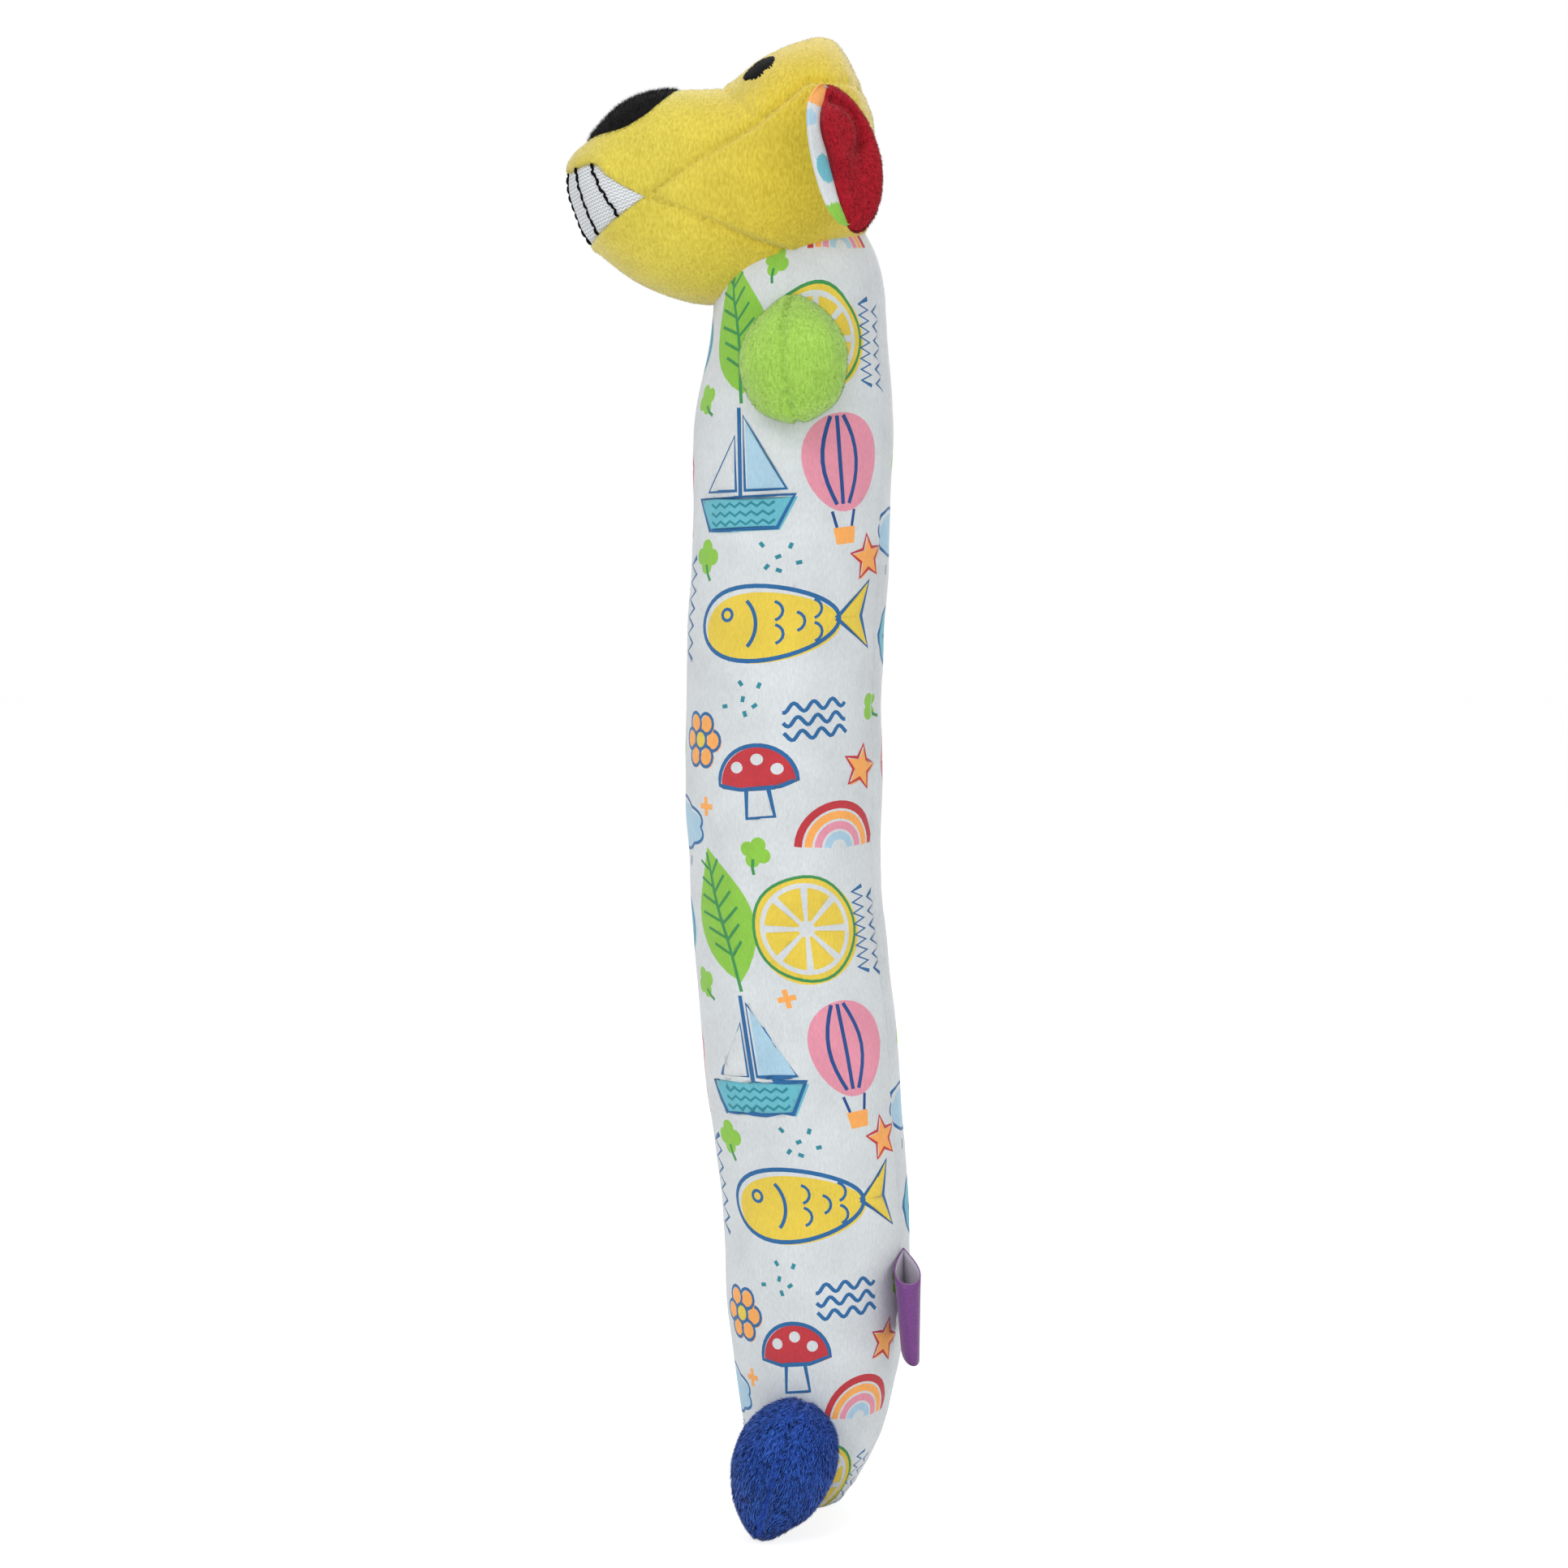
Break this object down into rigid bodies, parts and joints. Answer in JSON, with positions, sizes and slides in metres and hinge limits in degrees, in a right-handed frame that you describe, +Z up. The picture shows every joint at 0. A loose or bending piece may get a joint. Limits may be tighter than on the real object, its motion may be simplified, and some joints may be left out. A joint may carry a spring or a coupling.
{
  "type": "squeaky dog toy",
  "caption": "Long stuffed dog-shaped pet toy that stands upright, with a sewn plush head, floppy ears, arms and feet, a ribbon label and a press squeaker inside.",
  "frame": {"origin": "middle of the flat seat at the bottom of the body, on the floor that the toy stands on", "axes": "+Z up along the body to the head, -Y the way that the dog looks, +X the dog's left side"},
  "size_m": [0.1002, 0.1085, 0.4496],
  "materials": {
    "print_plush": "matte",
    "yellow_plush": "matte",
    "black_fleece": "matte",
    "black_thread": "satin",
    "mouth_mesh": "matte",
    "red_plush": "matte",
    "lime_plush": "matte",
    "blue_plush": "matte",
    "ribbon": "satin",
    "fibre": "matte",
    "bulb_plastic": "satin",
    "whistle_plastic": "satin",
    "reed_plastic": "gloss"
  },
  "bodies": {
    "torso": {"body_panel": "print_plush", "lower_stuffing": "fibre", "upper_stuffing": "fibre", "squeaker_bulb": "bulb_plastic"},
    "whistle": {"squeaker_plug": "whistle_plastic", "squeaker_reed": "reed_plastic", "reed_wedge": "whistle_plastic"},
    "label": {"side_label": "ribbon"},
    "neck": {"neck_stuffing": "fibre"},
    "head": {"muzzle_panel": "yellow_plush", "crown_panel": "yellow_plush", "chin_panel": "yellow_plush", "left_cheek_panel": "yellow_plush", "right_cheek_panel": "yellow_plush", "teeth_panel": "mouth_mesh", "head_stuffing": "fibre", "nose_patch": "black_fleece", "left_eye": "black_thread", "right_eye": "black_thread", "tooth_stitch_1": "black_thread", "tooth_stitch_2": "black_thread", "tooth_stitch_3": "black_thread", "tooth_stitch_4": "black_thread", "tooth_stitch_5": "black_thread"},
    "left_ear": {"left_ear_plush": "red_plush", "left_ear_lining": "print_plush"},
    "left_arm": {"left_arm_front_panel": "lime_plush", "left_arm_back_panel": "lime_plush", "left_arm_stuffing": "fibre"},
    "left_foot": {"left_foot_front_panel": "blue_plush", "left_foot_back_panel": "blue_plush", "left_foot_stuffing": "fibre"},
    "right_ear": {"right_ear_plush": "red_plush", "right_ear_lining": "print_plush"},
    "right_arm": {"right_arm_front_panel": "lime_plush", "right_arm_back_panel": "lime_plush", "right_arm_stuffing": "fibre"},
    "right_foot": {"right_foot_front_panel": "blue_plush", "right_foot_back_panel": "blue_plush", "right_foot_stuffing": "fibre"}
  },
  "joints": [
    {"name": "squeaker_press", "type": "slide", "parent": "torso", "child": "whistle", "axis": [0, 1, 0], "range_m": [0, 0.006], "stiffness_N_per_m": 100, "deforming": ["squeaker_bulb"]},
    {"name": "label_flap", "type": "hinge", "parent": "torso", "child": "label", "pos_m": [0.0117, 0.0302, 0.0705], "axis": [0, 0, 1], "range_deg": [-8, 75], "stiffness_Nm_per_rad": 0.0005},
    {"name": "head_turn", "type": "hinge", "parent": "torso", "child": "neck", "pos_m": [0, -0.0005, 0.371], "axis": [0, 0, 1], "range_deg": [-20, 20], "stiffness_Nm_per_rad": 0.2},
    {"name": "head_nod", "type": "hinge", "parent": "neck", "child": "head", "pos_m": [0, -0.0005, 0.371], "axis": [1, 0, 0], "range_deg": [-12, 6], "stiffness_Nm_per_rad": 0.3},
    {"name": "left_ear_lift", "type": "hinge", "parent": "head", "child": "left_ear", "pos_m": [0.0333, 0.0055, 0.4323], "axis": [0, -1, 0], "range_deg": [0, 60], "stiffness_Nm_per_rad": 0.005},
    {"name": "left_arm_lift", "type": "hinge", "parent": "torso", "child": "left_arm", "pos_m": [0.026, -0.0035, 0.3722], "axis": [0, -1, 0], "range_deg": [0, 45], "stiffness_Nm_per_rad": 0.02},
    {"name": "left_foot_lift", "type": "hinge", "parent": "torso", "child": "left_foot", "pos_m": [0.0245, 0, 0.0396], "axis": [0, -1, 0], "range_deg": [0, 40], "stiffness_Nm_per_rad": 0.3},
    {"name": "right_ear_lift", "type": "hinge", "parent": "head", "child": "right_ear", "pos_m": [-0.0333, 0.0055, 0.4323], "axis": [0, 1, 0], "range_deg": [0, 60], "stiffness_Nm_per_rad": 0.005},
    {"name": "right_arm_lift", "type": "hinge", "parent": "torso", "child": "right_arm", "pos_m": [-0.026, -0.0035, 0.3722], "axis": [0, 1, 0], "range_deg": [0, 45], "stiffness_Nm_per_rad": 0.02},
    {"name": "right_foot_lift", "type": "hinge", "parent": "torso", "child": "right_foot", "pos_m": [-0.0245, 0, 0.0396], "axis": [0, 1, 0], "range_deg": [0, 40], "stiffness_Nm_per_rad": 0.3}
  ]
}
